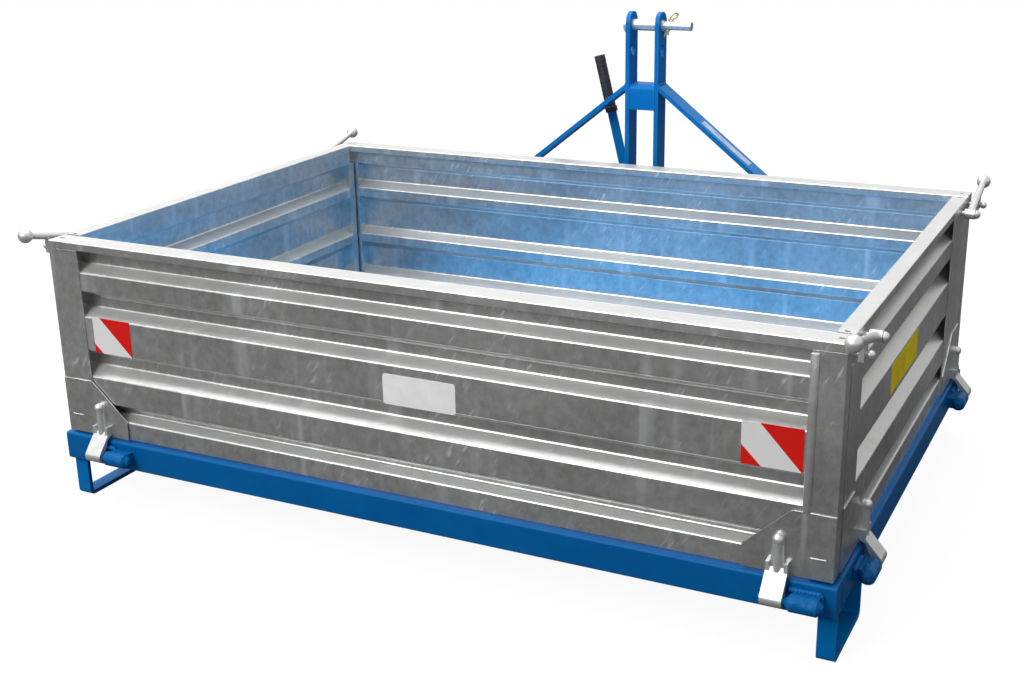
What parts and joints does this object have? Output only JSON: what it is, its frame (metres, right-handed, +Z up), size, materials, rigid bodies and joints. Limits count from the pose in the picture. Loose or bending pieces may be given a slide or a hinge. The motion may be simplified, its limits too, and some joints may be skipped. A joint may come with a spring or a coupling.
{
  "type": "tractor transport box",
  "caption": "Three-point tractor transport box: tipping steel load box with drop sides, corner lever latches and a headstock with hitch pins and release lever.",
  "frame": {"origin": "on the floor, in the middle of the whole implement's outline", "axes": "+X along the long walls to the right as seen facing the tractor, +Y towards the tractor, +Z up"},
  "size_m": [1.588, 1.2424, 0.8529],
  "materials": {
    "galvanised": "hot-dip galvanised sheet, cool grey with soft spangle",
    "blue_paint": "deep blue enamel, semi gloss",
    "zinc_plated": "bright zinc plate",
    "yellow_zinc": "yellow passivated zinc",
    "black_rubber": "matte black moulded grip"
  },
  "bodies": {
    "headstock": {"chassis_beams": "blue_paint", "ground_beam": "blue_paint", "chassis_shoes": "blue_paint", "link_plates": "blue_paint", "lower_cross_tube": "blue_paint", "headstock_uprights": "blue_paint", "headstock_bridge": "blue_paint", "headstock_braces": "blue_paint", "lower_link_pins": "zinc_plated", "top_link_pin": "zinc_plated", "pin_clip": "yellow_zinc"},
    "box": {"base_long_rails": "blue_paint", "base_end_rails": "blue_paint", "floor_plate": "blue_paint", "floor_members": "blue_paint", "front_feet": "blue_paint", "rear_wall_brackets": "blue_paint", "catch_pin": "zinc_plated", "pivot_brackets": "blue_paint", "pivot_pins": "zinc_plated", "front_hinge_bosses": "blue_paint", "left_hinge_bosses": "blue_paint", "right_hinge_bosses": "blue_paint", "rear_wall_sheet": "galvanised", "rear_wall_top_rail": "galvanised", "rear_wall_posts": "galvanised", "rear_wall_corner_plates": "galvanised", "rear_lever_studs": "zinc_plated"},
    "front_wall": {"front_wall_sheet": "galvanised", "front_wall_top_rail": "galvanised", "front_wall_posts": "galvanised", "front_wall_corner_plates": "galvanised", "front_wall_hinge_straps": "galvanised", "front_lever_studs": "zinc_plated"},
    "left_wall": {"left_wall_sheet": "galvanised", "left_wall_top_rail": "galvanised", "left_wall_posts": "galvanised", "left_wall_corner_plates": "galvanised", "left_wall_hinge_straps": "galvanised", "left_lever_bolts": "zinc_plated"},
    "right_wall": {"right_wall_sheet": "galvanised", "right_wall_top_rail": "galvanised", "right_wall_posts": "galvanised", "right_wall_corner_plates": "galvanised", "right_wall_hinge_straps": "galvanised", "right_lever_bolts": "zinc_plated"},
    "front_left_lever": {"front_left_lever": "zinc_plated"},
    "front_right_lever": {"front_right_lever": "zinc_plated"},
    "rear_left_lever": {"rear_left_lever": "zinc_plated"},
    "rear_right_lever": {"rear_right_lever": "zinc_plated"},
    "release_lever": {"release_shaft": "zinc_plated", "release_bar": "blue_paint", "release_grip": "black_rubber", "release_hook": "blue_paint"}
  },
  "joints": [
    {"name": "box_tilt", "type": "hinge", "parent": "headstock", "child": "box", "pos_m": [0, -0.17475, 0.047], "axis": [1, 0, 0], "range_deg": [0, 50]},
    {"name": "front_wall_drop", "type": "hinge", "parent": "box", "child": "front_wall", "pos_m": [0, -0.59975, 0.112], "axis": [1, 0, 0], "range_deg": [0, 180]},
    {"name": "left_wall_drop", "type": "hinge", "parent": "box", "child": "left_wall", "pos_m": [-0.78, -0.04975, 0.112], "axis": [0, -1, 0], "range_deg": [0, 180]},
    {"name": "right_wall_drop", "type": "hinge", "parent": "box", "child": "right_wall", "pos_m": [0.78, -0.04975, 0.112], "axis": [0, 1, 0], "range_deg": [0, 180]},
    {"name": "front_left_lever_lift", "type": "hinge", "parent": "left_wall", "child": "front_left_lever", "pos_m": [-0.766, -0.45975, 0.503], "axis": [-1, 0, 0], "range_deg": [0, 110]},
    {"name": "front_right_lever_lift", "type": "hinge", "parent": "right_wall", "child": "front_right_lever", "pos_m": [0.766, -0.45975, 0.503], "axis": [-1, 0, 0], "range_deg": [0, 110]},
    {"name": "rear_left_lever_lift", "type": "hinge", "parent": "left_wall", "child": "rear_left_lever", "pos_m": [-0.766, 0.36025, 0.503], "axis": [1, 0, 0], "range_deg": [0, 110]},
    {"name": "rear_right_lever_lift", "type": "hinge", "parent": "right_wall", "child": "rear_right_lever", "pos_m": [0.766, 0.36025, 0.503], "axis": [1, 0, 0], "range_deg": [0, 110]},
    {"name": "release_lever_pull", "type": "hinge", "parent": "headstock", "child": "release_lever", "pos_m": [0, 0.56125, 0.213], "axis": [0, 1, 0], "range_deg": [0, 35]}
  ]
}
